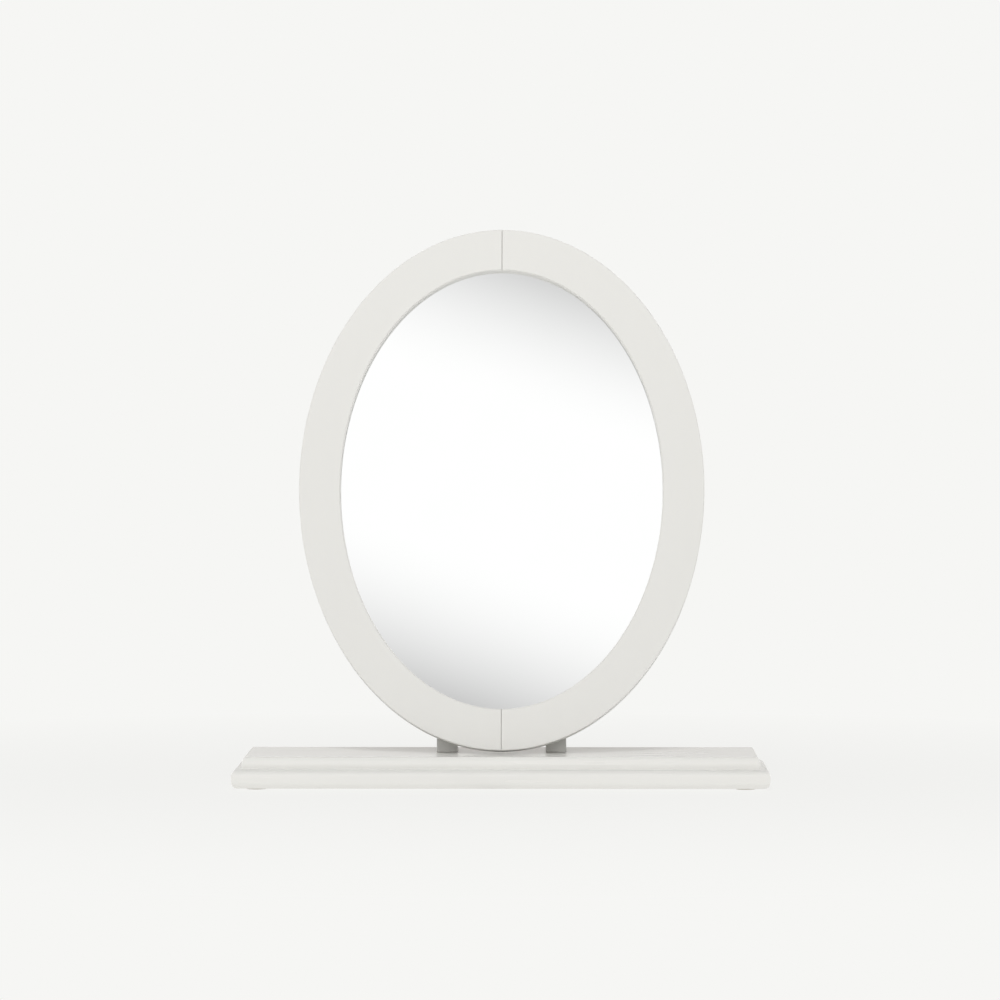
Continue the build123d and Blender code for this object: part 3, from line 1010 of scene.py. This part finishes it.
ambient_strength = 0.29
world = bpy.data.worlds.new("studio")
world.use_nodes = True
bpy.context.scene.world = world
tree = world.node_tree
sky = Wire(tree)
soft = sky.node("ShaderNodeBackground", sockets={"Color": (1, 1, 1, 1), "Strength": ambient_strength})
shown = sky.node("ShaderNodeBackground", sockets={"Color": background, "Strength": 1.0})
both = sky.node("ShaderNodeMixShader", sockets={0: seen_ray(sky), 1: soft, 2: shown})
sky.feed(tree.nodes["World Output"].inputs["Surface"], both)

# Reflected card
# A large white card behind and above the camera, which only the mirror and the gloss show. It is
# white in a slanting band and falls off to grey at both sides.
camera_place = Vector((0.06, -5.584, 0.4156))
card_distance = 8.0
card_half = 1.3
card_slant = math.radians(18.5)
card_rise = 0.012
card_white_half = 0.182
card_fall = 7.02
card_strength = 1.045
card_least = 0.526

mirror_middle = oval_centre + to_front * glass_front
ray = (mirror_middle - camera_place).normalized()
mirrored = ray - 2 * ray.dot(to_front) * to_front
card_turn = (-mirrored).to_track_quat("Z", "Y").to_matrix().to_4x4()
card_place = Matrix.Translation(mirror_middle + mirrored * card_distance) @ card_turn
mesh = bmesh.new()
bmesh.ops.create_grid(mesh, x_segments=1, y_segments=1, size=card_half)
shape = bpy.data.meshes.new("reflected_card")
mesh.to_mesh(shape)
mesh.free()
card_paint = bpy.data.materials.new("card_paint")
card_paint.use_nodes = True
tree = card_paint.node_tree
here = Wire(tree).node("ShaderNodeTexCoord", out="Object")
across = here.axis("Y") * math.cos(card_slant) - here.axis("X") * math.sin(card_slant) - card_rise
beyond = here.math("MAXIMUM", here.math("ABSOLUTE", across) - card_white_half, 0.0)
shade = (1 - beyond * beyond * card_fall).between((card_least, card_least, card_least, 1), (1, 1, 1, 1))
glow = here.node("ShaderNodeEmission", sockets={"Color": shade, "Strength": card_strength})
here.feed(tree.nodes["Material Output"].inputs["Surface"], glow)
shape.materials.append(card_paint)
card = placed("reflected_card", shape)
card.matrix_world = card_place
card.visible_camera = card.visible_diffuse = card.visible_shadow = False
card.visible_transmission = card.visible_volume_scatter = False

# Grey card behind
# A long grey card behind the object, paler towards its ends, which only the gloss of the board shows
# at its low angle.
back_place = Vector((0, 2.5, 1.0))
back_half_width = 3.0
back_half_height = 1.0
back_middle = (0.85, 0.836, 0.812, 1)
back_end = (1, 0.983, 0.955, 1)
back_pale = 0.36
mesh = bmesh.new()
corners = [(-1, -1), (1, -1), (1, 1), (-1, 1)]
mesh.faces.new(
    mesh.verts.new(back_place + Vector((wide * back_half_width, 0, high * back_half_height)))
    for wide, high in corners
)
shape = bpy.data.meshes.new("back_card")
mesh.to_mesh(shape)
mesh.free()
back_paint = bpy.data.materials.new("back_paint")
back_paint.use_nodes = True
tree = back_paint.node_tree
here = Wire(tree).node("ShaderNodeTexCoord", out="Object")
sideways = here.math("MINIMUM", here.math("ABSOLUTE", here.axis("X")) / back_pale, 1.0)
shade = sideways.between(back_middle, back_end)
glow = here.node("ShaderNodeEmission", sockets={"Color": shade, "Strength": 1.0})
here.feed(tree.nodes["Material Output"].inputs["Surface"], glow)
shape.materials.append(back_paint)
back = placed("back_card", shape)
back.visible_camera = back.visible_diffuse = back.visible_shadow = False
back.visible_transmission = back.visible_volume_scatter = False

# Lamps
# Two large soft boxes in front, one high and one low, both a little to the left. The white table and
# the ambient light fill the rest.
box_aim = Vector((0, 0, 0.2))
for name, place, size, power in (
    ("high_box", Vector((-0.2, -2.0, 3.1)), 0.9, 39),
    ("low_box", Vector((-0.2, -3.3, 1.4)), 1.6, 30),
):
    lamp = bpy.data.lights.new(name, "AREA")
    lamp.shape, lamp.size, lamp.energy = "SQUARE", size, power
    box = bpy.data.objects.new(name, lamp)
    box.location = place
    box.rotation_euler = (box_aim - place).to_track_quat("-Z", "Y").to_euler()
    box.visible_camera = box.visible_glossy = False
    bpy.context.scene.collection.objects.link(box)

# Camera
# A long lens nearly level with the middle of the mirror and a little to its right, tipped down and
# turned back by a degree or less.
camera_tip = math.radians(1.34)
camera_turn = math.radians(0.631)
camera_lens = 201.3
camera_sensor = 36
camera_sight = 100
lens = bpy.data.cameras.new("camera")
lens.lens, lens.sensor_width, lens.clip_end = camera_lens, camera_sensor, camera_sight
camera = bpy.data.objects.new("camera", lens)
camera.location = camera_place
camera.rotation_euler = (math.pi / 2 - camera_tip, 0, camera_turn)
bpy.context.scene.collection.objects.link(camera)
bpy.context.scene.camera = camera
bpy.context.scene.view_settings.view_transform = "Standard"
